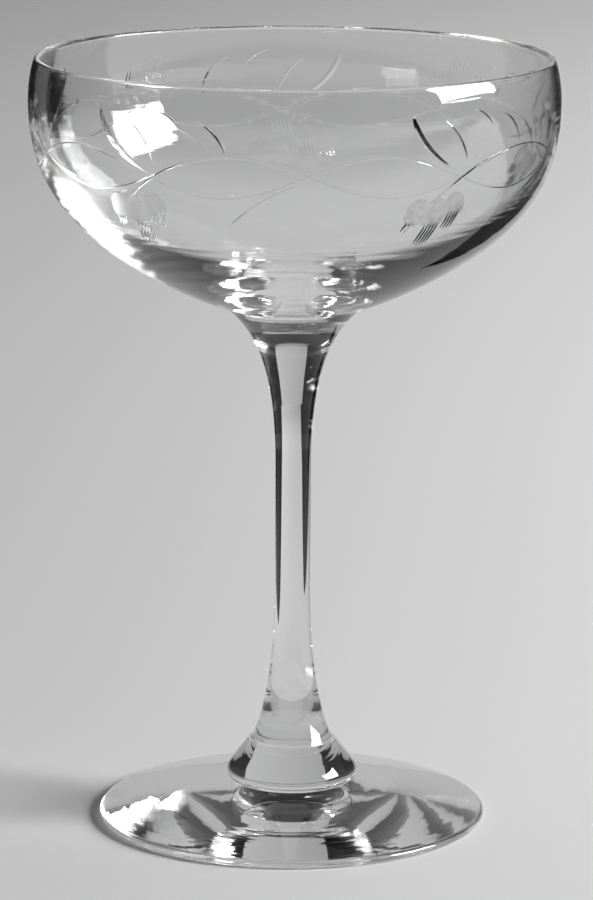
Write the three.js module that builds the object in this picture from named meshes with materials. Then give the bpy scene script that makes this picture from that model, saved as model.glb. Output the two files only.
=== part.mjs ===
// Sherbet glass: a wide saucer bowl on a tall drawn stem, with a knop and a round foot.
// Four gathers of clear glass, joined hot face to face, so no piece moves.
// Millimetres, +Z up. The origin is the centre of the face that the foot rests on.
import * as THREE from 'three';

// Foot
const FOOT_RADIUS = 37.85;
const FOOT_EDGE = 1.6; // thickness of the rounded rim of the foot
const FOOT_REST_WIDTH = 2; // flat ring that touches the table
const FOOT_HOLLOW = 0.1; // rise of the underside at the middle
const FOOT_PAD_HEIGHT = 7; // from the table to the weld under the knop
const FOOT_TOP_REACH = 16; // how far the straight outer slope of the top runs in
const FOOT_TOP_SLOPE = 14; // degrees
const FOOT_FILLET = 3; // size of the hollow curve up to the weld
const FOOT_FILLET_SLOPE = 20; // degrees, where the curve meets the weld

// Knop
const KNOP_RADIUS = 12.7;
const KNOP_HEIGHT = 8.3;
const KNOP_WIDEST_HEIGHT = 2; // from the lower weld to the widest ring
const KNOP_SEAT_RADIUS = 10.8; // lower weld
const KNOP_SHOULDER_SLOPE = 52; // degrees, where the shoulder meets the upper weld
const KNOP_SHOULDER_REACH = 4.6;
const KNOP_SHOULDER_TURN = 1.2; // how far the widest ring runs upright before the shoulder
const KNOP_LEDGE = 0.4; // step left round the stem at the upper weld

// Stem
const STEM_LENGTH = 86.3;
const STEM_WAIST_RADIUS = 3.5;
const STEM_FOOT_RADIUS = 8.1;
const STEM_TAPER_LENGTH = 31;
const STEM_TAPER_PULL = 18; // how long the taper stays close to the waist
const STEM_FOOT_FLARE = [2, 3.4]; // inward and upward run of the taper's last curve
const STEM_TRUMPET_LENGTH = 31;
const STEM_TRUMPET_PULL = 17.6; // how long the trumpet stays close to the waist
const STEM_TOP_FLARE = [6.3, 4.8]; // inward and downward run of the trumpet's first curve
const SEAM_RADIUS = 13.4; // weld between stem and bowl

// Bowl
const BOWL_HEIGHT = 48.4; // from the weld to the rim
const BOWL_RADIUS = 50.95; // widest ring
const BOWL_WIDEST_HEIGHT = 40.1; // from the weld to the widest ring
const BOWL_BASE_SLOPE = 17; // degrees, where the bowl leaves the weld
const BOWL_BASE_REACH = 8.4;
const BOWL_SHOULDER_RADIUS = 39.5; // where the saucer turns into the side
const BOWL_SHOULDER_HEIGHT = 14.4;
const BOWL_SHOULDER_SLOPE = 42; // degrees
const BOWL_SHOULDER_REACH = 7.7; // either way along that slope
const BOWL_SIDE_REACH = 13.6; // how long the side stays upright below the widest ring
const BOWL_LIP_REACH = 3.5; // and above it
const BOWL_LIP_DROP = 0.39; // from the rim down to where its rounding starts outside
const BOWL_RIM_RADIUS = 49.75; // outside, where the rounding starts
const BOWL_RIM_REACH = 1.2; // how far the lip runs straight below the rounding
const BOWL_RIM_LEAN = 24; // degrees that the lip leans in there
const BOWL_RIM_ROUND = 0.83; // how far the rounding bulges over the rim
const BOWL_RIM_WALL = 1.1;
const BOWL_FLOOR_WALL = 4.6; // glass at the edge of the weld
const BOWL_WALL_THINNING = 3; // power by which the wall thins as it rises

// Facets
const SEGMENTS = 60; // round the axis
const STEPS = 6; // along each curve of a profile
const RIM_STEPS = 6; // over the rim and across the floor of the bowl

// Heights of the welds, from the table up
const KNOP_BASE = FOOT_PAD_HEIGHT;
const STEM_BASE = KNOP_BASE + KNOP_HEIGHT;
const BOWL_BASE = STEM_BASE + STEM_LENGTH;

const polar = (length, degrees) => {
  const angle = THREE.MathUtils.degToRad(degrees);
  return new THREE.Vector2(length * Math.cos(angle), length * Math.sin(angle));
};

const glass = (color) =>
  new THREE.MeshStandardMaterial({
    color,
    roughness: 0.03,
    metalness: 0,
    transparent: true,
    opacity: 0.35,
  });

// A solid of revolution about +Z. The points run from the axis, out and up, back to the axis.
function turned(name, points, color) {
  const geometry = new THREE.LatheGeometry(points, SEGMENTS);
  geometry.rotateX(Math.PI / 2);
  const mesh = new THREE.Mesh(geometry, glass(color));
  mesh.name = name;
  return mesh;
}

// A profile path that starts on the axis at the given height.
function profileFrom(height) {
  const path = new THREE.Path();
  path.moveTo(0, height);
  return path;
}

function buildFoot() {
  const edgeRadius = FOOT_EDGE / 2;
  const restOuter = FOOT_RADIUS - edgeRadius;
  const restInner = restOuter - FOOT_REST_WIDTH;
  const slope = polar(FOOT_TOP_REACH, 180 - FOOT_TOP_SLOPE);
  const fillet = polar(FOOT_FILLET, -FOOT_FILLET_SLOPE);
  const path = profileFrom(FOOT_HOLLOW);
  path.quadraticCurveTo(restInner / 2, FOOT_HOLLOW, restInner, 0);
  path.lineTo(restOuter, 0);
  path.absarc(restOuter, edgeRadius, edgeRadius, -Math.PI / 2, Math.PI / 2, false);
  path.bezierCurveTo(
    restOuter + slope.x, FOOT_EDGE + slope.y,
    KNOP_SEAT_RADIUS + fillet.x, FOOT_PAD_HEIGHT + fillet.y,
    KNOP_SEAT_RADIUS, FOOT_PAD_HEIGHT,
  );
  path.lineTo(0, FOOT_PAD_HEIGHT);
  return turned('foot', path.getPoints(STEPS), 0xe8ecec);
}

function buildKnop() {
  const collar = STEM_FOOT_RADIUS + KNOP_LEDGE;
  const widest = KNOP_BASE + KNOP_WIDEST_HEIGHT;
  const shoulder = polar(KNOP_SHOULDER_REACH, -KNOP_SHOULDER_SLOPE);
  const path = profileFrom(KNOP_BASE);
  path.lineTo(KNOP_SEAT_RADIUS, KNOP_BASE);
  path.quadraticCurveTo(KNOP_RADIUS, KNOP_BASE, KNOP_RADIUS, widest);
  path.bezierCurveTo(
    KNOP_RADIUS, widest + KNOP_SHOULDER_TURN,
    collar + shoulder.x, STEM_BASE + shoulder.y,
    collar, STEM_BASE,
  );
  path.lineTo(0, STEM_BASE);
  return turned('knop', path.getPoints(STEPS), 0xe6eaea);
}

function buildStem() {
  const [footIn, footUp] = STEM_FOOT_FLARE;
  const [topIn, topDown] = STEM_TOP_FLARE;
  const taperTop = STEM_BASE + STEM_TAPER_LENGTH;
  const trumpetBase = BOWL_BASE - STEM_TRUMPET_LENGTH;
  const path = profileFrom(STEM_BASE);
  path.lineTo(STEM_FOOT_RADIUS, STEM_BASE);
  path.bezierCurveTo(
    STEM_FOOT_RADIUS - footIn, STEM_BASE + footUp,
    STEM_WAIST_RADIUS, taperTop - STEM_TAPER_PULL,
    STEM_WAIST_RADIUS, taperTop,
  );
  path.lineTo(STEM_WAIST_RADIUS, trumpetBase);
  path.bezierCurveTo(
    STEM_WAIST_RADIUS, trumpetBase + STEM_TRUMPET_PULL,
    SEAM_RADIUS - topIn, BOWL_BASE - topDown,
    SEAM_RADIUS, BOWL_BASE,
  );
  path.lineTo(0, BOWL_BASE);
  return turned('stem', path.getPoints(STEPS), 0xe4e9e9);
}

// The outside of the bowl as three joined curves: the saucer from the weld to the shoulder, the side
// up to the widest ring, and the lip that leans in to the rim.
function bowlOutside() {
  const seam = new THREE.Vector2(SEAM_RADIUS, BOWL_BASE);
  const shoulder = new THREE.Vector2(BOWL_SHOULDER_RADIUS, BOWL_BASE + BOWL_SHOULDER_HEIGHT);
  const widest = new THREE.Vector2(BOWL_RADIUS, BOWL_BASE + BOWL_WIDEST_HEIGHT);
  const lip = new THREE.Vector2(BOWL_RIM_RADIUS, BOWL_BASE + BOWL_HEIGHT - BOWL_LIP_DROP);
  const along = polar(BOWL_SHOULDER_REACH, BOWL_SHOULDER_SLOPE);
  const up = (reach) => new THREE.Vector2(0, reach);
  const saucer = new THREE.CubicBezierCurve(
    seam,
    seam.clone().add(polar(BOWL_BASE_REACH, BOWL_BASE_SLOPE)),
    shoulder.clone().sub(along),
    shoulder,
  );
  const side = new THREE.CubicBezierCurve(
    shoulder,
    shoulder.clone().add(along),
    widest.clone().sub(up(BOWL_SIDE_REACH)),
    widest,
  );
  const rimSide = new THREE.CubicBezierCurve(
    widest,
    widest.clone().add(up(BOWL_LIP_REACH)),
    lip.clone().sub(polar(BOWL_RIM_REACH, 90 + BOWL_RIM_LEAN)),
    lip,
  );
  return [saucer, side, rimSide];
}

// The wall is thickest at the weld and thins towards the rim.
function wallAt(height) {
  const left = 1 - (height - BOWL_BASE) / BOWL_HEIGHT;
  return BOWL_RIM_WALL + (BOWL_FLOOR_WALL - BOWL_RIM_WALL) * left ** BOWL_WALL_THINNING;
}

function buildBowl() {
  const outside = [];
  const inside = [];
  for (const curve of bowlOutside()) {
    const first = outside.length === 0 ? 0 : 1;
    for (let step = first; step <= STEPS; step += 1) {
      const point = curve.getPoint(step / STEPS);
      const tangent = curve.getTangent(step / STEPS);
      const wall = wallAt(point.y);
      outside.push(point);
      inside.unshift(new THREE.Vector2(point.x - tangent.y * wall, point.y + tangent.x * wall));
    }
  }
  // The rim is rounded from the outside over to the inside.
  const outerLip = outside.at(-1);
  const innerLip = inside[0];
  const over = polar(BOWL_RIM_ROUND, 90 + BOWL_RIM_LEAN);
  const rim = new THREE.CubicBezierCurve(
    outerLip,
    outerLip.clone().add(over),
    innerLip.clone().add(over),
    innerLip,
  );
  // Inside, the floor levels out to the axis as a parabola.
  const floorEdge = inside.at(-1);
  const floorDrop = (floorEdge.x / 2) * Math.tan(THREE.MathUtils.degToRad(BOWL_BASE_SLOPE));
  const floorCentre = new THREE.Vector2(0, floorEdge.y - floorDrop);
  const floorTurn = new THREE.Vector2(floorEdge.x / 2, floorCentre.y);
  const floor = new THREE.QuadraticBezierCurve(floorEdge, floorTurn, floorCentre);
  const points = [
    new THREE.Vector2(0, BOWL_BASE),
    ...outside,
    ...rim.getPoints(RIM_STEPS).slice(1, -1),
    ...inside,
    ...floor.getPoints(RIM_STEPS).slice(1),
  ];
  return turned('bowl', points, 0xeef2f2);
}

const sherbetGlass = new THREE.Group();
sherbetGlass.add(buildFoot(), buildKnop(), buildStem(), buildBowl());

export default sherbetGlass;
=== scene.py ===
"""Dresses the sherbet glass: a saucer bowl, a drawn stem, a knop and a foot, all of clear glass.

Every piece is a profile carried round the axis of the glass, in metres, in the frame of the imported
solids. Where two pieces were joined hot, the faces that meet are clear, so light runs on as in one body.
"""

import logging
import math
from collections.abc import Sequence
from dataclasses import dataclass, field
from enum import Enum

import bpy
import numpy as np
from mathutils import Matrix, Vector
from mathutils.geometry import delaunay_2d_cdt


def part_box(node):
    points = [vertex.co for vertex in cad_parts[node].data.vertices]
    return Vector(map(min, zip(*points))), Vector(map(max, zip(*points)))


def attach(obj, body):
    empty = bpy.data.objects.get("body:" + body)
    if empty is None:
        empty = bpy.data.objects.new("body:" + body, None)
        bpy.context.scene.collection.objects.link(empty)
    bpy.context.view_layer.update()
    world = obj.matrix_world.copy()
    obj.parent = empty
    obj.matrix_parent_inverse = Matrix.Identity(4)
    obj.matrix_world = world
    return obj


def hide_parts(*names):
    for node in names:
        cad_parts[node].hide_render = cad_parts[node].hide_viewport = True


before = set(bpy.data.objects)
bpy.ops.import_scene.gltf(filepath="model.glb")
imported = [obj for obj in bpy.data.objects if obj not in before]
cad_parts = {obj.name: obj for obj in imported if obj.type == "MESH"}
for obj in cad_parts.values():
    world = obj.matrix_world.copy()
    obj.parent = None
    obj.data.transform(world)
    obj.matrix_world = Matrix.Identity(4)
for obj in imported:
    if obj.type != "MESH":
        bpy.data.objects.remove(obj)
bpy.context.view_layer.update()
BODY = "root"
MM = 0.001
WELD_STEP = 2e-6  # vertices that fall in one cell of this size become one
TINY = 1e-9  # as good as nothing beside any size here
ROOM_GREY = 0.42  # of the room as the camera sees it
Value = float | bpy.types.NodeSocket  # what an input of a shader node takes
log = logging.getLogger("sherbet_glass")


class Surface(Enum):
    """What a face is finished as; the value is its material slot."""

    CLEAR = 0
    WELD = 1
    CUT = 2
    DIMPLE = 3


def bezier(points: Sequence, count: int) -> np.ndarray:
    """Points along a Bezier curve: its control points weighed by the Bernstein polynomials.

    Args:
        points: control points, each a pair.
        count: how many points to return.

    Returns:
        An array of count rows.
    """
    control = np.asarray(points, float)
    degree = len(control) - 1
    t = np.linspace(0.0, 1.0, count)[:, None]
    terms = [math.comb(degree, k) * t**k * (1 - t) ** (degree - k) * p for k, p in enumerate(control)]
    return np.sum(terms, axis=0)


def polar(length: float, degrees: float) -> np.ndarray:
    """The step of that length at that angle from the level."""
    return length * np.array([math.cos(math.radians(degrees)), math.sin(math.radians(degrees))])


def lengths_along(points: np.ndarray) -> np.ndarray:
    """The length of a run of points up to each of them."""
    return np.concatenate([[0.0], np.cumsum(np.linalg.norm(np.diff(points, axis=0), axis=1))])


def right_of(points: np.ndarray) -> np.ndarray:
    """Unit normals to the right of a run of points: its differences, turned by a quarter.

    Args:
        points: rows of the run.

    Returns:
        One normal for each row.
    """
    tangent = np.gradient(points, axis=0, edge_order=2 if len(points) > 2 else 1)
    tangent /= np.linalg.norm(tangent, axis=1, keepdims=True)
    return np.column_stack([tangent[:, 1], -tangent[:, 0]])


@dataclass
class Stretch:
    """A run of a profile with one finish: rows of radius and height, and the normals out of the glass."""

    points: np.ndarray
    surface: Surface = Surface.CLEAR
    normals: np.ndarray | None = None

    def __post_init__(self) -> None:
        """Takes the normals from the points where they aren't given."""
        if self.normals is None:
            self.normals = right_of(self.points)

    def thinned(self, step: float) -> "Stretch":
        """The same run with fewer rows, and the normals of the full run.

        Args:
            step: about how far apart the rows are.

        Returns:
            The thinned run.
        """
        along = lengths_along(self.points)
        count = max(2, round(along[-1] / step) + 1)
        keep = np.searchsorted(along, np.linspace(0, along[-1] * (1 - TINY), count))
        return Stretch(self.points[keep], self.surface, self.normals[keep])

    def at(self, along: np.ndarray) -> tuple[np.ndarray, np.ndarray]:
        """Points and unit normals on the run, by straight lines between its rows.

        Args:
            along: lengths along the run.

        Returns:
            The points and the normals, row by row.
        """
        ruler = lengths_along(self.points)
        points, normals = (
            np.column_stack([np.interp(along, ruler, column) for column in rows.T])
            for rows in (self.points, self.normals)
        )
        return points, normals / np.linalg.norm(normals, axis=1, keepdims=True)

    def between(self, low: float, high: float) -> "Stretch":
        """The part of the run from one length along it to another.

        Args:
            low: where the part starts.
            high: where it ends.

        Returns:
            That part, with a row at either end.
        """
        ruler = lengths_along(self.points)
        inner = ruler[(ruler > low) & (ruler < high)]
        points, normals = self.at(np.concatenate([[low], inner, [high]]))
        return Stretch(points, self.surface, normals)


@dataclass
class Patch:
    """Part of a skin: vertices, faces, the slot of each face and the normals at its corners."""

    verts: np.ndarray
    faces: np.ndarray
    labels: np.ndarray
    normals: np.ndarray


def turn(pairs: np.ndarray, angle: np.ndarray) -> np.ndarray:
    """Carries pairs round +Z: x = r cos(a), y = r sin(a), z = z."""
    radius, height = pairs[..., 0], pairs[..., 1]
    return np.stack([radius * np.cos(angle), radius * np.sin(angle), height + 0 * angle], axis=-1)


def spun(points: np.ndarray, angle: np.ndarray) -> np.ndarray:
    """Turns each point about +Z: x cos(a) - y sin(a), x sin(a) + y cos(a), z.

    Args:
        points: the points, along the last axis.
        angle: the angle of each point.

    Returns:
        The turned points.
    """
    x, y, z = np.moveaxis(points, -1, 0)
    cos, sin = np.cos(angle), np.sin(angle)
    return np.stack([x * cos - y * sin, x * sin + y * cos, z], axis=-1)


def revolve(stretch: Stretch, segments: int) -> list[Patch]:
    """Carries one run of a profile round +Z, with a fan of triangles where it meets the axis.

    Args:
        stretch: the run.
        segments: steps round the axis.

    Returns:
        Patches with their faces to the right of the run.
    """
    points, normals = stretch.points, stretch.normals
    angle = np.arange(segments) * (2 * math.pi / segments)
    rings = turn(points[:, None], angle[None])
    leans = turn(normals[:, None], angle[None])
    here = np.arange(segments)
    ahead = np.roll(here, -1)
    rows = np.arange(len(points))
    off_axis = points[:, 0] > TINY
    patches = []
    body = rows[:-1][off_axis[:-1] & off_axis[1:]]
    if len(body):
        start = body[:, None] * segments
        corners = [start + here, start + ahead, start + segments + ahead, start + segments + here]
        quads = np.stack(corners, axis=-1).reshape(-1, 4)
        labels = np.full(len(quads), stretch.surface.value)
        patches.append(Patch(rings.reshape(-1, 3), quads, labels, leans.reshape(-1, 3)[quads]))
    for row, step in ((0, 1), (len(points) - 1, -1)):
        if off_axis[row]:
            continue
        verts = np.vstack([rings[row + step], rings[row, :1]])
        lean = np.vstack([leans[row + step], leans[row, :1]])
        fan = np.column_stack([np.full(segments, segments), here, ahead][::step])[:, [0, 2, 1]]
        patches.append(Patch(verts, fan, np.full(segments, stretch.surface.value), lean[fan]))
    return patches


def mesh_from(name: str, patches: list[Patch]) -> bpy.types.Mesh:
    """Joins patches into one mesh, with one vertex where their vertices meet.

    Args:
        name: the mesh's name.
        patches: the parts of the skin.

    Returns:
        The new mesh, with the labels as material slots and the normals at the corners.
    """
    shifts = np.cumsum([0] + [len(p.verts) for p in patches])
    verts = np.vstack([p.verts for p in patches])
    cells = np.round(verts / WELD_STEP).astype(np.int64)
    _, first, number = np.unique(cells, axis=0, return_index=True, return_inverse=True)
    number = number.ravel()
    joined = [number[p.faces + shift] for p, shift in zip(patches, shifts)]
    whole = [np.all(faces != np.roll(faces, 1, axis=1), axis=1) for faces in joined]
    faces = [face for part, keep in zip(joined, whole) for face in part[keep].tolist()]
    labels = np.concatenate([p.labels[keep] for p, keep in zip(patches, whole)])
    normals = np.vstack([p.normals[keep].reshape(-1, 3) for p, keep in zip(patches, whole)])
    mesh = bpy.data.meshes.new(name)
    mesh.from_pydata(verts[first].tolist(), [], faces)
    mesh.polygons.foreach_set("material_index", labels.astype(np.int32))
    mesh.polygons.foreach_set("use_smooth", np.ones(len(mesh.polygons), bool))
    mesh.normals_split_custom_set(normals.tolist())
    mesh.update()
    return mesh


class Nodes:
    """Adds shader nodes to one tree, with their inputs set or linked as they are made."""

    def __init__(self, tree: bpy.types.NodeTree) -> None:
        """Empties the tree."""
        self.tree = tree
        tree.nodes.clear()

    def add(self, kind: str, inputs: dict | None = None, **settings: str) -> bpy.types.Node:
        """Makes a node.

        Args:
            kind: the node's type name.
            inputs: socket name or number to a value, or to an output socket that is linked to it.
            **settings: properties of the node itself.

        Returns:
            The new node.
        """
        node = self.tree.nodes.new(kind)
        for key, value in settings.items():
            setattr(node, key, value)
        for key, value in (inputs or {}).items():
            if isinstance(value, bpy.types.NodeSocket):
                self.tree.links.new(value, node.inputs[key])
            else:
                node.inputs[key].default_value = value
        return node

    def math(self, operation: str, *values: Value) -> bpy.types.NodeSocket:
        """The result of a Math node on these numbers or sockets."""
        node = self.add("ShaderNodeMath", dict(enumerate(values)), operation=operation)
        return node.outputs[0]

    def product(self, first: Value, *others: Value) -> bpy.types.NodeSocket:
        """The product of these numbers or sockets, from left to right.

        Args:
            first: the first of them.
            *others: the rest.

        Returns:
            The socket of the product.
        """
        for other in others:
            first = self.math("MULTIPLY", first, other)
        return first

    def ramp(self, value: Value, start: float, end: float) -> bpy.types.NodeSocket:
        """A smooth step from 0 to 1 as value runs from start to end."""
        inputs = {"Value": value, "From Min": start, "From Max": end}
        return self.add("ShaderNodeMapRange", inputs, interpolation_type="SMOOTHSTEP").outputs[0]

    def mix(self, share: Value, low: Value, high: Value) -> bpy.types.NodeSocket:
        """The number that runs from low to high as share runs from 0 to 1."""
        node = self.add("ShaderNodeMix", {0: share, 2: low, 3: high}, data_type="FLOAT")
        return node.outputs[0]

    def noise(self, place: Value, scale: float, detail: float) -> bpy.types.NodeSocket:
        """The number that a noise texture gives at a place."""
        inputs = {"Vector": place, "Scale": scale, "Detail": detail}
        return self.add("ShaderNodeTexNoise", inputs).outputs[0]

    def mirrored(self, path: bpy.types.Node) -> bpy.types.NodeSocket:
        """1 for light that the glass has thrown back at least once, 0 for the rest."""
        return self.math("GREATER_THAN", path.outputs["Glossy Depth"], 0.5)


def new_material(name: str) -> tuple[bpy.types.Material, Nodes]:
    """An empty node material.

    Args:
        name: the material's name.

    Returns:
        The material and the maker of its nodes.
    """
    mat = bpy.data.materials.new(name)
    mat.use_nodes = True
    return mat, Nodes(mat.node_tree)


@dataclass(frozen=True)
class ClearGlass:
    """Fire-polished glass: clear, a little uneven, with a faint film of handling.

    A stretch over one draws the unevenness out into rings round the axis, as turning leaves them.
    """

    name: str
    tint: tuple = (0.985, 0.99, 0.988, 1.0)
    ior: float = 1.52
    swirl_size: float = 60.0
    swirl_depth: float = 0.02 * MM
    swirl_stretch: float = 1.0
    swirl_detail: float = 1.0
    film_size: float = 9.0
    film_detail: float = 3.0
    film: float = 0.004

    def material(self) -> bpy.types.Material:
        """Makes the glass: noise lifts the surface for its swirl and roughens it for its film.

        Returns:
            The node material.
        """
        mat, nodes = new_material(self.name)
        place = nodes.add("ShaderNodeTexCoord").outputs["Object"]
        drawn_out = {0: place, 1: (1.0, 1.0, self.swirl_stretch)}
        flow = nodes.add("ShaderNodeVectorMath", drawn_out, operation="MULTIPLY").outputs[0]
        swirl = nodes.noise(flow, self.swirl_size, self.swirl_detail)
        lift = {"Height": swirl, "Distance": self.swirl_depth, "Strength": 1.0}
        bump = nodes.add("ShaderNodeBump", lift).outputs[0]
        film = nodes.noise(place, self.film_size, self.film_detail)
        glass = nodes.add(
            "ShaderNodeBsdfPrincipled",
            {
                "Base Color": self.tint,
                "Roughness": nodes.math("MULTIPLY", film, self.film),
                "IOR": self.ior,
                "Transmission Weight": 1.0,
                "Normal": bump,
            },
        )
        nodes.add("ShaderNodeOutputMaterial", {"Surface": glass.outputs[0]})
        return mat


@dataclass(frozen=True)
class CutGlass(ClearGlass):
    """A mitre cut, polished but for the fine grain of the wheel."""

    name: str = "cut_glass"
    film_size: float = 900.0
    film: float = 0.12


@dataclass(frozen=True)
class DimpleGlass(ClearGlass):
    """A shallow cut that was left grey."""

    name: str = "dimple_glass"
    film_size: float = 900.0
    film: float = 0.8


@dataclass(frozen=True)
class WeldedFace:
    """The face where two pieces were joined hot: nothing is seen of it."""

    name: str = "welded_face"

    def material(self) -> bpy.types.Material:
        """Makes the face wholly transparent.

        Returns:
            The node material.
        """
        mat, nodes = new_material(self.name)
        clear = nodes.add("ShaderNodeBsdfTransparent", {"Color": (1.0, 1.0, 1.0, 1.0)})
        nodes.add("ShaderNodeOutputMaterial", {"Surface": clear.outputs[0]})
        return mat


@dataclass
class TurnedPiece:
    """A piece of the glass, turned about +Z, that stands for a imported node.

    Its swirl is the size, depth and stretch of its glass's unevenness, and its haze is the film on it.
    """

    node: str
    slot: str
    segments: int = 360
    swirl: tuple = (60.0, 0.02 * MM, 1.0)
    haze: float = 0.03

    def __post_init__(self) -> None:
        """Takes the piece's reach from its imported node."""
        low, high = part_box(self.node)
        self.base, self.top, self.reach = low.z, high.z, high.x

    @staticmethod
    def weld(start: Sequence, end: Sequence) -> Stretch:
        """The straight run of a face that was joined hot to the next piece."""
        return Stretch(np.array([start, end]), Surface.WELD)

    def stretches(self) -> list[Stretch]:
        """The runs of the piece's profile, from the axis out and back."""
        raise NotImplementedError

    def patches(self) -> list[Patch]:
        """The piece's whole skin."""
        return [patch for stretch in self.stretches() for patch in revolve(stretch, self.segments)]

    def build(self) -> bpy.types.Object:
        """Makes the piece's object, rides it on the part and puts it in its node's place.

        Returns:
            The object.
        """
        mesh = mesh_from(self.node + "_glass", self.patches())
        piece = bpy.data.objects.new(self.node + "_glass", mesh)
        bpy.context.scene.collection.objects.link(piece)
        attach(piece, BODY)
        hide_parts(self.node)
        mesh.calc_loop_triangles()
        log.info("%s: %d triangles", piece.name, len(mesh.loop_triangles))
        return piece

    def glass(self) -> ClearGlass:
        """The piece's own glass.

        Returns:
            Clear glass with the piece's swirl and haze.
        """
        size, depth, stretch = self.swirl
        return ClearGlass(
            self.node + "_glass", swirl_size=size, swirl_depth=depth, swirl_stretch=stretch, film=self.haze
        )

    def dress(self, piece: bpy.types.Object, finishes: list[bpy.types.Material]) -> None:
        """Gives the piece its finishes, in the order of Surface."""
        for finish in finishes:
            piece.data.materials.append(finish)


@dataclass
class Foot(TurnedPiece):
    """The round foot, hollowed underneath, with a pad that the knop is joined to."""

    swirl: tuple = (40.0, 0.04 * MM, 60.0)
    haze: float = 0.05
    edge: float = 1.6 * MM
    rest_width: float = 2 * MM
    hollow: float = 0.1 * MM
    pad_radius: float = 10.8 * MM
    top_reach: float = 16 * MM
    top_slope: float = 14.0
    fillet: float = 3 * MM
    fillet_slope: float = 20.0
    under_rows: int = 40
    edge_rows: int = 20
    top_rows: int = 60

    def stretches(self) -> list[Stretch]:
        """A Bezier underside, a flat resting ring, a round edge, a Bezier top and the weld on the pad.

        Returns:
            The runs of the profile.
        """
        round_edge = self.edge / 2
        outer = self.reach - round_edge
        inner = outer - self.rest_width
        under = bezier([(0, self.hollow), (inner / 2, self.hollow), (inner, 0)], self.under_rows)
        angle = np.linspace(-math.pi / 2, math.pi / 2, self.edge_rows)
        rim = np.column_stack([outer + round_edge * np.cos(angle), round_edge + round_edge * np.sin(angle)])
        edge_top = rim[-1]
        pad = np.array([self.pad_radius, self.top])
        slope = edge_top + polar(self.top_reach, 180 - self.top_slope)
        rise = pad + polar(self.fillet, -self.fillet_slope)
        top = bezier([edge_top, slope, rise, pad], self.top_rows)
        return [
            Stretch(under),
            Stretch(np.array([under[-1], rim[0]])),
            Stretch(rim),
            Stretch(top),
            self.weld(pad, (0, self.top)),
        ]


@dataclass
class Knop(TurnedPiece):
    """The pressed button between the stem and the foot, joined to both."""

    seat_radius: float = 10.8 * MM
    widest_height: float = 2 * MM
    collar_radius: float = 8.5 * MM
    stem_radius: float = 8.1 * MM
    shoulder_reach: float = 4.6 * MM
    shoulder_slope: float = 52.0
    shoulder_turn: float = 1.2 * MM
    under_rows: int = 24
    shoulder_rows: int = 36

    def stretches(self) -> list[Stretch]:
        """Lower weld, Bezier underside and shoulder, ledge round the stem and upper weld.

        Returns:
            The runs of the profile.
        """
        seat = np.array([self.seat_radius, self.base])
        widest = np.array([self.reach, self.base + self.widest_height])
        collar = np.array([self.collar_radius, self.top])
        under = bezier([seat, (self.reach, self.base), widest], self.under_rows)
        cone = collar + polar(self.shoulder_reach, -self.shoulder_slope)
        shoulder = bezier([widest, widest + (0, self.shoulder_turn), cone, collar], self.shoulder_rows)
        stem = np.array([self.stem_radius, self.top])
        return [
            self.weld((0, self.base), seat),
            Stretch(under),
            Stretch(shoulder),
            Stretch(np.array([collar, stem])),
            self.weld(stem, (0, self.top)),
        ]


@dataclass
class Stem(TurnedPiece):
    """The drawn stem: a taper up from the knop, a slim waist and a trumpet under the bowl."""

    foot_radius: float = 8.1 * MM
    waist_radius: float = 3.5 * MM
    taper_length: float = 31 * MM
    taper_pull: float = 18 * MM
    foot_flare: tuple = (2 * MM, 3.4 * MM)
    trumpet_length: float = 31 * MM
    trumpet_pull: float = 17.6 * MM
    top_flare: tuple = (6.3 * MM, 4.8 * MM)
    taper_rows: int = 60
    waist_rows: int = 8
    trumpet_rows: int = 80

    def stretches(self) -> list[Stretch]:
        """Lower weld, Bezier taper, straight waist, Bezier trumpet and upper weld.

        Returns:
            The runs of the profile.
        """
        foot = np.array([self.foot_radius, self.base])
        seam = np.array([self.reach, self.top])
        low = np.array([self.waist_radius, self.base + self.taper_length])
        high = np.array([self.waist_radius, self.top - self.trumpet_length])
        foot_turn = foot + np.array([-self.foot_flare[0], self.foot_flare[1]])
        top_turn = seam - np.array(self.top_flare)
        taper = bezier([foot, foot_turn, low - (0, self.taper_pull), low], self.taper_rows)
        waist = np.linspace(low, high, self.waist_rows)
        trumpet = bezier([high, high + (0, self.trumpet_pull), top_turn, seam], self.trumpet_rows)
        return [
            self.weld((0, self.base), foot),
            Stretch(taper),
            Stretch(waist),
            Stretch(trumpet),
            self.weld(seam, (0, self.top)),
        ]


@dataclass(frozen=True)
class Groove:
    """A mitre cut: a V whose depth is its half width times its steepness, along a middle line.

    Points are in millimetres: round the bowl, and up along its wall.
    """

    line: np.ndarray
    half: np.ndarray
    steep: float
    surface: Surface = Surface.CUT

    def outlines(self) -> list[np.ndarray]:
        """The middle line and the two edges of the cut."""
        side = right_of(self.line) * self.half[:, None]
        return [self.line, self.line + side, self.line - side]

    def relief(self, at: np.ndarray) -> tuple[np.ndarray, np.ndarray]:
        """Depth: steepness times how far a point lies inside the edge, over the nearest part of the line.

        Args:
            at: rows of points.

        Returns:
            The depth at each point, less than nothing outside the cut, and the slope of the depth.
        """
        start, step = self.line[:-1], np.diff(self.line, axis=0)
        share = np.einsum("nmk,mk->nm", at[:, None] - start, step) / np.sum(step**2, axis=1)
        share = np.clip(share, 0.0, 1.0)
        away = at[:, None] - (start + share[..., None] * step)
        far = np.linalg.norm(away, axis=2)
        deep = self.steep * (self.half[:-1] + share * np.diff(self.half) - far)
        best = np.argmax(deep, axis=1)
        rows = np.arange(len(at))
        slope = -self.steep * away[rows, best] / np.maximum(far[rows, best], TINY)[:, None]
        return deep[rows, best], slope


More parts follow.
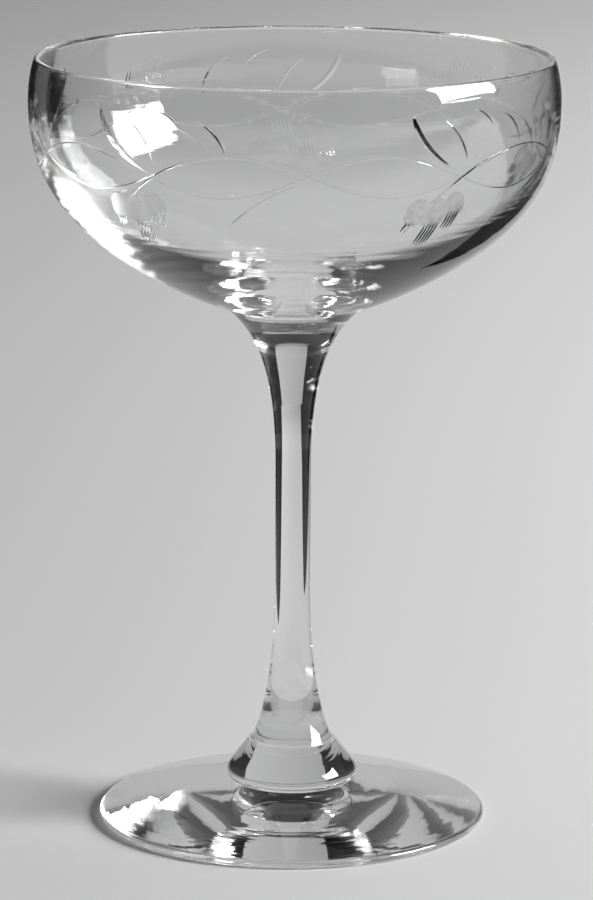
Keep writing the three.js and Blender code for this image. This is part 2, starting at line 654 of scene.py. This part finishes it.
@dataclass(frozen=True)
class Dimple:
    """A shallow oval cut, deepest in the middle; its axes are the rows from the middle to the edge."""

    centre: np.ndarray
    axes: np.ndarray
    depth: float
    surface: Surface = Surface.DIMPLE
    points: int = 32
    inner_ring: float = 0.5

    def outlines(self) -> list[np.ndarray]:
        """The edge of the oval, and a ring part of the way out to it.

        Returns:
            The two rings, closed.
        """
        angle = np.linspace(0, 2 * math.pi, self.points + 1)
        ring = np.column_stack([np.cos(angle), np.sin(angle)]) @ self.axes
        return [self.centre + ring, self.centre + self.inner_ring * ring]

    def relief(self, at: np.ndarray) -> tuple[np.ndarray, np.ndarray]:
        """Depth: that of the middle times one less the squared share of the way to the edge.

        Args:
            at: rows of points.

        Returns:
            The depth at each point, less than nothing outside the cut, and the slope of the depth.
        """
        inverse = np.linalg.inv(self.axes)
        share = (at - self.centre) @ inverse
        return self.depth * (1 - np.sum(share**2, axis=1)), -2 * self.depth * share @ inverse.T


@dataclass
class Ornament:
    """The cut band: two waves that cross, with leaves and a bud at every crossing, above and below in turn.

    Sizes along the band are degrees round the bowl and millimetres along its wall, from the crossing.
    """

    # Layout of the band
    repeats: int = 5
    first: float = -51.2
    middle: float = 50.9
    band: tuple = (33.5, 64.8)
    around: float = 50.0
    swing: float = 4.0
    sway: float = 0.6

    # Widths and steepness of the cuts
    wave_width: float = 0.36
    wave_steep: float = 0.4
    stem_width: float = 0.45
    stem_ends: tuple = (0.0, 0.6)
    leaf_width: float = 1.25
    leaf_steep: float = 0.72
    leaf_lead: float = 0.65
    small_leaf_width: float = 0.5
    low_leaf_steep: float = 0.45
    stroke_width: float = 0.56
    steep: float = 0.95
    swell_power: float = 0.7
    dimple_depth: float = 0.2

    # Control points of the leaves and of a bud's stem
    leaf: tuple = ((-12.8, 11.3), (-11.3, 6.3), (-7, 2.9), (-0.8, 0.5))
    inner_leaf: tuple = ((-5.2, 10.4), (-1.5, 7.9), (0.6, 5.2), (1.2, 2.6))
    tip_leaf: tuple = ((2.5, 11.7), (5.5, 11.5), (7.3, 9.9), (8.6, 8.5))
    outer_leaf: tuple = ((11.5, 10.4), (14.5, 10), (17, 7.8), (18.2, 4.4))
    low_leaf: tuple = ((-17.7, -9.5), (-12.5, -5.2), (-7, -2.7), (-1.2, -0.4))
    bud_stem: tuple = ((12.5, -3.3), (6.5, -2.6), (0, 0.4), (-5.3, 4.4))

    # Lobes of a bud: place, half width and half height in millimetres, and tilt in degrees
    lobes: tuple = ((0, 6.4, 2.5, 3, -20), (-5, 7.9, 2.9, 3.5, 0), (-10, 7.4, 2.5, 3.1, 20))

    # Fringes of a bud: place of the middle stroke's two ends, and how many strokes
    fringes: tuple = ((0.8, 7, -0.4, 12.1, 4), (-4.5, 9.8, -6.1, 16, 5), (-10.7, 9.2, -11.9, 12, 3))
    stroke_gap: float = 0.88
    stroke_shortening: float = 0.3
    hanging_bud: float = -1.0
    upper_bud: float = 0.74
    upper_steep: float = 0.3

    # The hand of the cutter: where the cuts are deepest, how they lighten and how far they stray
    front: float = -90.0
    lightest: float = 0.4
    lightening: float = 0.35
    uneven: float = 2.4

    # Mesh of the band: where a repeat starts, in degrees from its crossing, and how fine it is
    seam: float = 22.4
    grid: tuple = (1.0, 0.85)
    clear_of_cuts: float = 0.45
    wave_step: float = 0.5
    point_gap: float = 0.45
    rough_points: int = 9
    least_points: int = 7
    overlap: float = 2.0
    margin: float = 0.01
    merge_gap: float = 1e-5
    corner_inset: float = 0.04

    def place(self, points: np.ndarray, crossing: int) -> np.ndarray:
        """Turns degrees and millimetres from a crossing into millimetres on the band."""
        degrees = points[:, 0] + self.first + crossing * 180 / self.repeats
        return np.column_stack([np.radians(degrees) * self.around, points[:, 1] + self.middle])

    def groove(
        self,
        control: Sequence,
        width: float,
        crossing: int,
        steep: float,
        ends: tuple = (0.0, 0.0),
        lead: float = 1.0,
    ) -> Groove:
        """A groove along a Bezier curve: its width follows a power of a sine, from end to end.

        Args:
            control: the curve's control points from the crossing.
            width: the greatest width in millimetres.
            crossing: the number of the crossing.
            steep: how steep the groove's sides are.
            ends: shares of the width left at the start and at the end.
            lead: under one, the groove is widest nearer its start.

        Returns:
            The groove.
        """
        rough = self.place(bezier(control, self.rough_points), crossing)
        count = max(self.least_points, round(lengths_along(rough)[-1] / self.point_gap))
        share = np.linspace(0, 1, count)
        swell = np.sin(math.pi * share**lead) ** self.swell_power
        least = ends[0] * (1 - share) + ends[1] * share
        line = self.place(bezier(control, count), crossing)
        return Groove(line, width / 2 * np.maximum(swell, least), steep)

    def bud(self, crossing: int, up: float, steep: float) -> list[Groove | Dimple]:
        """Three shallow lobes with a fringe of strokes, on a stem.

        Args:
            crossing: the number of the crossing that it grows from.
            up: its size; less than nothing where it hangs.
            steep: how steep its cuts are.

        Returns:
            The cuts.
        """
        lift = np.array([1.0, up])
        stem = np.array(self.bud_stem) * lift
        cuts = [self.groove(stem, self.stem_width, crossing, steep, self.stem_ends)]
        for degrees, away, wide, high, tilt in self.lobes:
            lean = math.radians(tilt * np.sign(up))
            axes = np.array([[math.cos(lean), math.sin(lean)], [-math.sin(lean), math.cos(lean)]])
            axes *= np.array([[wide], [high * abs(up)]])
            centre = self.place(np.array([[degrees, away]]) * lift, crossing)[0]
            finish = Surface.DIMPLE if up < 0 else Surface.CUT
            cuts.append(Dimple(centre, axes, self.dimple_depth * steep, finish))
        for inner, near, outer, far, count in self.fringes:
            for k in np.arange(count) - (count - 1) / 2:
                shift, short = k * self.stroke_gap, self.stroke_shortening * abs(k)
                ends = np.array([[inner + shift, near], [outer + shift, far - short]]) * lift
                cuts.append(self.groove(ends, self.stroke_width, crossing, steep))
        return cuts

    def cuts(self) -> list[Groove | Dimple]:
        """Every cut of one repeat, with those of its neighbours; the waves are a sine with some cosine.

        Returns:
            The cuts.
        """
        span = 360 / self.repeats
        degrees = np.arange(-span, 2 * span, self.wave_step)
        phase = np.radians(degrees * self.repeats)
        cuts = []
        for side in (1, -1):
            wave = np.column_stack([degrees, side * self.swing * np.sin(phase) - self.sway * np.cos(phase)])
            line = self.place(wave, 0)
            cuts.append(Groove(line, np.full(len(line), self.wave_width / 2), self.wave_steep))
        for crossing in (-2, 0, 2):
            cuts.append(
                self.groove(self.leaf, self.leaf_width, crossing, self.leaf_steep, lead=self.leaf_lead)
            )
            for leaf in (self.inner_leaf, self.tip_leaf, self.outer_leaf):
                cuts.append(self.groove(leaf, self.small_leaf_width, crossing, self.steep))
            cuts.extend(self.bud(crossing, self.hanging_bud, self.steep))
            cuts.append(self.groove(self.low_leaf, self.small_leaf_width, crossing + 1, self.low_leaf_steep))
            cuts.extend(self.bud(crossing + 1, self.upper_bud, self.upper_steep))
        return cuts

    def pressure(self, angle: np.ndarray) -> np.ndarray:
        """The share of its depth that a cut has: it eases off to the back as a power of a raised cosine."""
        turned = angle - math.radians(self.front)
        return self.lightest + (1 - self.lightest) * (0.5 + 0.5 * np.cos(turned)) ** self.lightening

    def loosened(self, patch: Patch) -> Patch:
        """Turns each point about the axis by a sine of its angle, so that the repeats aren't all alike.

        Args:
            patch: part of the bowl's skin.

        Returns:
            The same part, turned.
        """
        turned = np.arctan2(patch.verts[:, 1], patch.verts[:, 0]) - math.radians(self.front)
        twist = -math.radians(self.uneven) * np.sin(turned)
        normals = spun(patch.normals, twist[patch.faces])
        return Patch(spun(patch.verts, twist), patch.faces, patch.labels, normals)

    def relief(
        self, cuts: list[Groove | Dimple], at: np.ndarray
    ) -> tuple[np.ndarray, np.ndarray, np.ndarray]:
        """The deepest cut at each point.

        Args:
            cuts: the cuts.
            at: rows of points on the band.

        Returns:
            The depth, its slope and the slot of the finish, row by row.
        """
        depth, slope = np.zeros(len(at)), np.zeros((len(at), 2))
        label = np.full(len(at), Surface.CLEAR.value)
        for cut in cuts:
            reach = np.vstack(cut.outlines())
            low, high = reach.min(axis=0) - self.margin, reach.max(axis=0) + self.margin
            rows = np.flatnonzero(np.all((at > low) & (at < high), axis=1))
            if not len(rows):
                continue
            deep, lean = cut.relief(at[rows])
            more = deep > depth[rows]
            deeper = rows[more]
            depth[deeper], slope[deeper] = deep[more], lean[more]
            label[deeper] = cut.surface.value
        return depth, slope, label

    @staticmethod
    def border(columns: np.ndarray, rows: np.ndarray) -> np.ndarray:
        """The closed edge of one repeat in the flat, from its lower left corner to the right and round.

        Args:
            columns: places along the lower and the upper edge.
            rows: heights up the two sides.

        Returns:
            The points, with the first one again at the end.
        """
        low = np.column_stack([columns, np.full(len(columns), rows[0])])
        right = np.column_stack([np.full(len(rows) - 1, columns[-1]), rows[1:]])
        high = (low + (0, rows[-1] - rows[0]))[-2::-1]
        left = np.column_stack([np.full(len(rows) - 2, columns[0]), rows[-2:0:-1]])
        return np.vstack([low, right, high, left, low[:1]])

    def flat(self, cuts: list[Groove | Dimple], segments: int) -> tuple[np.ndarray, np.ndarray]:
        """Triangles of one repeat in the flat, with every edge of the cuts kept as an edge.

        Args:
            cuts: the cuts.
            segments: steps round the whole bowl, so that the band meets the rings beside it.

        Returns:
            Points and triangles.
        """
        span = 360 / self.repeats
        low, high = self.band
        left, right = np.radians(self.first + self.seam + np.array([0, span])) * self.around
        columns = np.linspace(left, right, segments // self.repeats + 1)
        rows = np.linspace(low, high, round((high - low) / self.grid[1]) + 1)
        runs = [self.border(columns, rows)]
        for cut in cuts:
            for line in cut.outlines():
                inside = (line[:, 0] > left - self.overlap) & (line[:, 0] < right + self.overlap)
                if inside.sum() > 1:
                    runs.append(line[inside])
        across = np.linspace(left, right, round(span / self.grid[0]) + 1)[1:-1]
        grid = np.stack(np.meshgrid(across, rows[1:-1]), axis=-1).reshape(-1, 2)
        lines = np.vstack(runs)
        gap = np.min(np.linalg.norm(grid[:, None] - lines[None], axis=2), axis=1)
        points = np.vstack([lines, grid[gap > self.clear_of_cuts]])
        starts = np.cumsum([0] + [len(run) for run in runs])
        edges = [(a + k, a + k + 1) for a, run in zip(starts, runs) for k in range(len(run) - 1)]
        origin = points.mean(axis=0)
        made = delaunay_2d_cdt([Vector(p) for p in points - origin], edges, [], 0, self.merge_gap)
        verts = np.array(
            [points[ids[0]] if ids else origin + np.array(v) for v, ids in zip(made[0], made[3])]
        )
        faces = np.array(made[2])
        centre = verts[faces].mean(axis=1)
        keep = np.all((centre > (left, low)) & (centre < (right, high)), axis=1)
        return verts, faces[keep]

    def patches(self, wall: Stretch, segments: int) -> list[Patch]:
        """Wraps the cut band round the wall: each point moves in from the wall by the depth of its cut.

        Args:
            wall: the outer wall's full profile.
            segments: steps round the whole bowl.

        Returns:
            One patch for each repeat.
        """
        cuts = self.cuts()
        flat, faces = self.flat(cuts, segments)
        depth, _, _ = self.relief(cuts, flat)
        middle = flat[faces].mean(axis=1)
        _, _, labels = self.relief(cuts, middle)
        corners = (1 - self.corner_inset) * flat[faces] + self.corner_inset * middle[:, None]
        _, slope, _ = self.relief(cuts, corners.reshape(-1, 2))
        slope[np.repeat(labels, 3) == Surface.CLEAR.value] = 0.0
        pairs, outward = wall.at(flat[:, 1] * MM)
        loops = faces.ravel()
        out = outward[loops]
        up = np.column_stack([-out[:, 1], out[:, 0]])
        patches = []
        for repeat in range(self.repeats):
            angle = flat[:, 0] / self.around + repeat * 2 * math.pi / self.repeats
            press = self.pressure(angle)[:, None]
            verts = turn(pairs - outward * np.maximum(depth, 0.0)[:, None] * press * MM, angle)
            angle, tilt = angle[loops], slope * press[loops]
            along = np.column_stack([-np.sin(angle), np.cos(angle), np.zeros(len(angle))])
            normals = turn(out + up * tilt[:, 1:], angle) + along * tilt[:, :1]
            normals /= np.linalg.norm(normals, axis=1, keepdims=True)
            patches.append(Patch(verts, faces, labels, normals.reshape(-1, 3, 3)))
        return patches


@dataclass
class Bowl(TurnedPiece):
    """The saucer bowl, thick at its floor and thin at its rim, with a band of cut ornament outside."""

    segments: int = 400
    swirl: tuple = (60.0, 0.028 * MM, 12.0)
    haze: float = 0.08
    seam_radius: float = 13.4 * MM
    widest_height: float = 40.1 * MM
    base_slope: float = 17.0
    base_reach: float = 8.4 * MM
    shoulder: tuple = (39.5 * MM, 14.4 * MM)
    shoulder_slope: float = 42.0
    shoulder_reach: float = 7.7 * MM
    side_reach: float = 13.6 * MM
    lip_reach: float = 3.5 * MM
    lip_drop: float = 0.39 * MM
    rim_radius: float = 49.75 * MM
    rim_reach: float = 1.2 * MM
    rim_lean: float = 24.0
    rim_round: float = 0.83 * MM
    rim_wall: float = 1.1 * MM
    floor_wall: float = 4.6 * MM
    wall_thinning: float = 3.0
    wall_points: int = 300
    lip_points: int = 90
    rim_rows: int = 14
    floor_points: int = 100
    row_step: float = 0.6 * MM
    band_row_step: float = 0.75 * MM
    floor_row_step: float = 1.5 * MM
    ornament: Ornament = field(default_factory=Ornament)

    def outside(self) -> Stretch:
        """The outer wall, from the weld to the lip: saucer, side and lip as Bezier curves end to end.

        Returns:
            The run of the wall.
        """
        seam = np.array([self.seam_radius, self.base])
        shoulder = np.array([self.shoulder[0], self.base + self.shoulder[1]])
        widest = np.array([self.reach, self.base + self.widest_height])
        lip = np.array([self.rim_radius, self.top - self.lip_drop])
        start = polar(self.base_reach, self.base_slope)
        along = polar(self.shoulder_reach, self.shoulder_slope)
        lean = polar(self.rim_reach, 90 + self.rim_lean)
        saucer = bezier([seam, seam + start, shoulder - along, shoulder], self.wall_points)
        side = bezier([shoulder, shoulder + along, widest - (0, self.side_reach), widest], self.wall_points)
        up = bezier([widest, widest + (0, self.lip_reach), lip - lean, lip], self.lip_points)
        return Stretch(np.vstack([saucer, side[1:], up[1:]]))

    def inside(self, outside: Stretch) -> Stretch:
        """The inner wall from the lip down: the outer one set in by a wall that thins as it rises.

        What it has over the rim's wall goes by a power of the share of the height that is left.

        Args:
            outside: the outer wall.

        Returns:
            The run of the inner wall.
        """
        left = 1 - (outside.points[:, 1] - self.base) / (self.top - self.base)
        wall = self.rim_wall + (self.floor_wall - self.rim_wall) * left**self.wall_thinning
        return Stretch((outside.points - outside.normals * wall[:, None])[::-1])

    def rim(self, outer: np.ndarray, inner: np.ndarray) -> Stretch:
        """The rounding over the rim: a Bezier curve from lip to lip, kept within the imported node.

        Args:
            outer: where the outer wall ends.
            inner: where the inner wall starts.

        Returns:
            The run over the rim.
        """
        over = polar(self.rim_round, 90 + self.rim_lean)
        curve = bezier([outer, outer + over, inner + over, inner], self.rim_rows)
        return Stretch(np.minimum(curve, (self.reach, self.top)))

    def floor(self, edge: np.ndarray) -> Stretch:
        """The floor inside: a parabola that leaves the wall at its slope and is level on the axis.

        Args:
            edge: where the inner wall ends.

        Returns:
            The run of the floor.
        """
        centre = np.array([0, edge[1] - edge[0] / 2 * math.tan(math.radians(self.base_slope))])
        return Stretch(bezier([edge, (edge[0] / 2, centre[1]), centre], self.floor_points))

    def patches(self) -> list[Patch]:
        """Weld, outer wall with its cut band, rounded rim, inner wall and floor.

        Returns:
            The bowl's whole skin.
        """
        outside = self.outside()
        inside = self.inside(outside)
        low, high = (limit * MM for limit in self.ornament.band)
        length = lengths_along(outside.points)[-1]
        depth = lengths_along(inside.points)[-1]
        runs = [
            self.weld((0, self.base), outside.points[0]),
            outside.between(0, low).thinned(self.row_step),
            outside.between(high, length).thinned(self.row_step),
            self.rim(outside.points[-1], inside.points[0]),
            inside.between(0, length - high).thinned(self.row_step),
            inside.between(length - high, length - low).thinned(self.band_row_step),
            inside.between(length - low, depth).thinned(self.row_step),
            self.floor(inside.points[-1]).thinned(self.floor_row_step),
        ]
        turned = [patch for run in runs for patch in revolve(run, self.segments)]
        turned += self.ornament.patches(outside, self.segments)
        return [self.ornament.loosened(patch) for patch in turned]


def card(name: str, corners: Sequence, mat: bpy.types.Material) -> bpy.types.Object:
    """A flat sheet of the stage.

    Args:
        name: its name.
        corners: its four corners, in order.
        mat: its material.

    Returns:
        Its object.
    """
    mesh = bpy.data.meshes.new(name)
    mesh.from_pydata(corners, [], [(0, 1, 2, 3)])
    mesh.materials.append(mat)
    sheet = bpy.data.objects.new(name, mesh)
    bpy.context.scene.collection.objects.link(sheet)
    return sheet


@dataclass
class Camera:
    """The camera, where the photograph was taken from: metres from under the foot, and degrees."""

    distance: float = 0.8225
    height: float = 0.252
    side: float = 0.00063
    pitch: float = 12.27
    roll: float = 0.298
    near: float = 0.01
    focal_pixels: float = 4330.0
    frame_pixels: float = 900.0
    sensor: float = 36.0
    bounces: int = 48

    def build(self) -> None:
        """Places the camera, rolled about its line of sight and tipped down from the level."""
        data = bpy.data.cameras.new("camera")
        data.sensor_width = self.sensor
        data.lens = self.sensor * self.focal_pixels / self.frame_pixels
        data.clip_start = self.near
        eye = bpy.data.objects.new("camera", data)
        bpy.context.scene.collection.objects.link(eye)
        tilt = Matrix.Rotation(math.radians(90 - self.pitch), 4, "X")
        roll = Matrix.Rotation(math.radians(self.roll), 4, "Z")
        place = Matrix.Translation((self.side, -self.distance, self.height))
        eye.matrix_world = place @ tilt @ roll
        bpy.context.scene.camera = eye
        self.light_paths()

    def light_paths(self) -> None:
        """Lets light run on inside the glass, where most of it is turned back many times."""
        cycles = bpy.context.scene.cycles
        cycles.max_bounces = self.bounces
        cycles.glossy_bounces = self.bounces
        cycles.transmission_bounces = self.bounces
        cycles.transparent_max_bounces = self.bounces
        cycles.sample_clamp_indirect = 0.0


@dataclass
class Window:
    """Window light from the right: degrees round from +Y towards +X and up from the level, and metres."""

    azimuth: float = 99.0
    elevation: float = 22.0
    distance: float = 2.1
    size: tuple = (1.13, 0.85)
    radiance: float = 27.6
    aim_height: float = 0.13

    def build(self) -> None:
        """Hangs the lamp, turned to the glass; its power is its radiance times pi times its area."""
        lamp = bpy.data.lights.new("window", "AREA")
        lamp.shape = "RECTANGLE"
        lamp.size, lamp.size_y = self.size
        lamp.energy = self.radiance * math.pi * lamp.size * lamp.size_y
        around, up = math.radians(self.azimuth), math.radians(self.elevation)
        away = Vector((math.sin(around) * math.cos(up), math.cos(around) * math.cos(up), math.sin(up)))
        window = bpy.data.objects.new("window", lamp)
        window.location = Vector((0, 0, self.aim_height)) + away * self.distance
        window.rotation_euler = away.to_track_quat("Z", "Y").to_euler()
        bpy.context.scene.collection.objects.link(window)


@dataclass
class TableTop:
    """A pale table top, in metres, with dark parts that only the glass shows, along its edges."""

    # Reach of the top, its grey, and the painted light on it: how much lighter it is painted along +X, on the
    # window's side, and along +Y, where the window's light falls off
    half: float = 12.0
    end: float = 1.6
    below: float = 0.1 * MM
    grey: float = 0.76
    painted_light_drift: tuple = (0.8, 0.27)
    painted_light_limits: tuple = (0.8, 1.6)

    # How evenly lit the glass finds it, where that fades along +Y, and where the room's haze takes over
    even: float = 0.8
    light: float = 0.72
    fade: float = 0.42
    fade_distances: tuple = (0.25, 0.95)
    haze_distances: tuple = (1.48, 3.5)

    # Edges of the pale sheet behind the glass: where each crosses an axis, and its slope
    front_left: tuple = (0.12, -0.25)
    front_right: tuple = (0.09, 0.0)
    left: tuple = (-0.055, -0.2)
    right: tuple = (0.028, 0.45)

    # Dark parts: where the strip in front starts and ends, along +Y, and the greys
    strip_start: tuple = (-0.65, -0.4)
    strip_end: tuple = (-0.15, -0.3)
    dark_left: float = 0.004
    dark_right: float = 0.008

    def shade(
        self, nodes: Nodes, x: bpy.types.NodeSocket, y: bpy.types.NodeSocket, path: bpy.types.Node
    ) -> bpy.types.NodeSocket:
        """The top's grey: painted light lifts it evenly along +X and +Y, and it is dark past the sheet's
        straight edges.

        In front of the glass, only mirrored light finds the top dark.

        Args:
            nodes: the maker of the top's nodes.
            x: the place along +X.
            y: the place along +Y.
            path: the light path.

        Returns:
            The socket of the grey.
        """
        # painted light: the grey is lighter along +X, on the window's side, and along +Y, where the window's
        # light falls off
        across, along = self.painted_light_drift
        least, most = self.painted_light_limits
        painted_light_drift = nodes.math("MULTIPLY_ADD", x, across, nodes.math("MULTIPLY_ADD", y, along, 1.0))
        painted_light_drift = nodes.math("MINIMUM", nodes.math("MAXIMUM", painted_light_drift, least), most)
        grey = nodes.math("MULTIPLY", painted_light_drift, self.grey)
        unseen = nodes.math("SUBTRACT", 1.0, path.outputs["Is Camera Ray"])
        for beyond, side, front, dark in (
            ("LESS_THAN", self.left, self.front_left, self.dark_left),
            ("GREATER_THAN", self.right, self.front_right, self.dark_right),
        ):
            off = nodes.math(beyond, x, nodes.math("MULTIPLY_ADD", y, side[1], side[0]))
            behind = nodes.math("GREATER_THAN", y, nodes.math("MULTIPLY_ADD", x, front[1], front[0]))
            grey = nodes.mix(nodes.product(off, behind, unseen), grey, dark)
        strip = nodes.product(nodes.ramp(y, *self.strip_start), nodes.ramp(y, *self.strip_end))
        return nodes.mix(nodes.product(strip, nodes.mirrored(path)), grey, self.dark_left)

    def finish(self) -> bpy.types.Material:
        """Paper that the glass sees evenly lit, and that fades into the room for the camera far out.

        Returns:
            The node material.
        """
        mat, nodes = new_material("floor")
        place = nodes.add("ShaderNodeTexCoord").outputs["Object"]
        x, y, _ = nodes.add("ShaderNodeSeparateXYZ", {0: place}).outputs
        path = nodes.add("ShaderNodeLightPath")
        grey = self.shade(nodes, x, y, path)
        paper = nodes.add("ShaderNodeBsdfDiffuse", {"Color": grey})
        light = nodes.mix(nodes.ramp(y, *self.fade_distances), self.light, self.light * (1 - self.fade))
        even = nodes.add("ShaderNodeEmission", {"Color": grey, "Strength": light})
        glass = nodes.math("MAXIMUM", path.outputs["Is Transmission Ray"], path.outputs["Is Glossy Ray"])
        share = nodes.math("MULTIPLY", glass, self.even)
        seen = nodes.add("ShaderNodeMixShader", {0: share, 1: paper.outputs[0], 2: even.outputs[0]})
        reach = nodes.add("ShaderNodeVectorMath", {0: place}, operation="LENGTH").outputs["Value"]
        away = nodes.product(nodes.ramp(reach, *self.haze_distances), path.outputs["Is Camera Ray"])
        haze = nodes.add("ShaderNodeEmission", {"Strength": ROOM_GREY})
        seen = nodes.add("ShaderNodeMixShader", {0: away, 1: seen.outputs[0], 2: haze.outputs[0]})
        nodes.add("ShaderNodeOutputMaterial", {"Surface": seen.outputs[0]})
        return mat

    def build(self) -> None:
        """Lays the top just under the foot."""
        half, end, under = self.half, self.end, -self.below
        corners = [(-half, -half, under), (half, -half, under), (half, end, under), (-half, end, under)]
        card("floor", corners, self.finish())


@dataclass
class Flags:
    """Black flags on either side behind the glass, in metres, which only the glass shows."""

    spans: tuple = ((-0.5, -0.07), (0.105, 0.5))
    distance: float = 0.25
    heights: tuple = (0.085, 0.18)
    grey: float = 0.002
    weave_size: float = 40.0
    weave_detail: float = 2.0

    def finish(self) -> bpy.types.Material:
        """Black cloth: noise round about its grey, for the weave.

        Returns:
            The node material.
        """
        mat, nodes = new_material("flag")
        place = nodes.add("ShaderNodeTexCoord").outputs["Object"]
        weave = nodes.noise(place, self.weave_size, self.weave_detail)
        black = nodes.math("MULTIPLY", weave, 2 * self.grey)
        cloth = nodes.add("ShaderNodeBsdfDiffuse", {"Color": black})
        nodes.add("ShaderNodeOutputMaterial", {"Surface": cloth.outputs[0]})
        return mat

    def build(self) -> None:
        """Stands the flags up, hidden from the camera and from the light on the table."""
        mat = self.finish()
        low, high = self.heights
        y = self.distance
        for left, right in self.spans:
            corners = [(left, y, low), (right, y, low), (right, y, high), (left, y, high)]
            flag = card("flag", corners, mat)
            flag.visible_camera = flag.visible_diffuse = flag.visible_shadow = False


@dataclass
class Room:
    """A dim room with a pale backdrop: degrees round from +Y towards +X and up from the level, and greys.

    The camera sees the room pale all over. Seen straight through the glass, its front is pale too.
    """

    backdrop_sides: tuple = (-16.0, 23.0)
    backdrop_top: float = 40.0
    backdrop_grey: float = 0.43
    backdrop_drift: float = 0.004
    wall_left: float = 0.01
    wall_right: float = 0.1
    right_sides: tuple = (35.0, 60.0)
    front_sides: tuple = (100.0, 130.0)
    front_rise: float = 35.0
    front_greys: tuple = (0.1, 0.04)
    ceiling_rise: tuple = (46.0, 60.0)
    ceiling: float = 0.02

    def build(self) -> None:
        """Paints the room: smooth steps from wall to wall, and the backdrop with straight edges over them."""
        room = bpy.data.worlds.new("room")
        bpy.context.scene.world = room
        room.use_nodes = True
        nodes = Nodes(room.node_tree)
        place = nodes.add("ShaderNodeTexCoord").outputs["Generated"]
        x, y, z = nodes.add("ShaderNodeSeparateXYZ", {0: place}).outputs
        around = nodes.math("DEGREES", nodes.math("ARCTAN2", x, y))
        up = nodes.math("DEGREES", nodes.math("ARCSINE", z))
        walls = nodes.mix(nodes.ramp(around, *self.right_sides), self.wall_left, self.wall_right)
        facing = nodes.mix(nodes.ramp(up, 0.0, self.front_rise), *self.front_greys)
        front = nodes.ramp(nodes.math("ABSOLUTE", around), *self.front_sides)
        grey = nodes.mix(front, walls, facing)
        grey = nodes.mix(nodes.ramp(up, *self.ceiling_rise), grey, self.ceiling)
        left, right = self.backdrop_sides
        sheet = nodes.product(
            nodes.math("GREATER_THAN", around, left),
            nodes.math("LESS_THAN", around, right),
            nodes.math("LESS_THAN", up, self.backdrop_top),
        )
        paper = nodes.math("MULTIPLY_ADD", around, self.backdrop_drift, self.backdrop_grey)
        grey = nodes.mix(sheet, grey, paper)
        path = nodes.add("ShaderNodeLightPath")
        straight = nodes.math("SUBTRACT", 1.0, nodes.mirrored(path))
        through = nodes.product(straight, path.outputs["Is Transmission Ray"], front)
        seen = nodes.math("MAXIMUM", path.outputs["Is Camera Ray"], through)
        light = nodes.add("ShaderNodeBackground", {"Color": nodes.mix(seen, grey, ROOM_GREY)})
        nodes.add("ShaderNodeOutputWorld", {"Surface": light.outputs[0]})


def main() -> None:
    """Builds the glass piece by piece, then the stage round it."""
    logging.basicConfig(level=logging.INFO, format="%(message)s")
    bpy.context.scene.view_settings.view_transform = "Standard"
    shared = [finish.material() for finish in (WeldedFace(), CutGlass(), DimpleGlass())]
    pieces = [
        Foot("foot", "foot_glass"),
        Knop("knop", "knop_glass"),
        Stem("stem", "stem_glass"),
        Bowl("bowl", "bowl_glass"),
    ]
    for piece in pieces:
        made = piece.build()
        piece.dress(made, [piece.glass().material(), *shared])
    for part in (Camera(), Window(), TableTop(), Flags(), Room()):
        part.build()


if __name__ == "__main__":
    main()
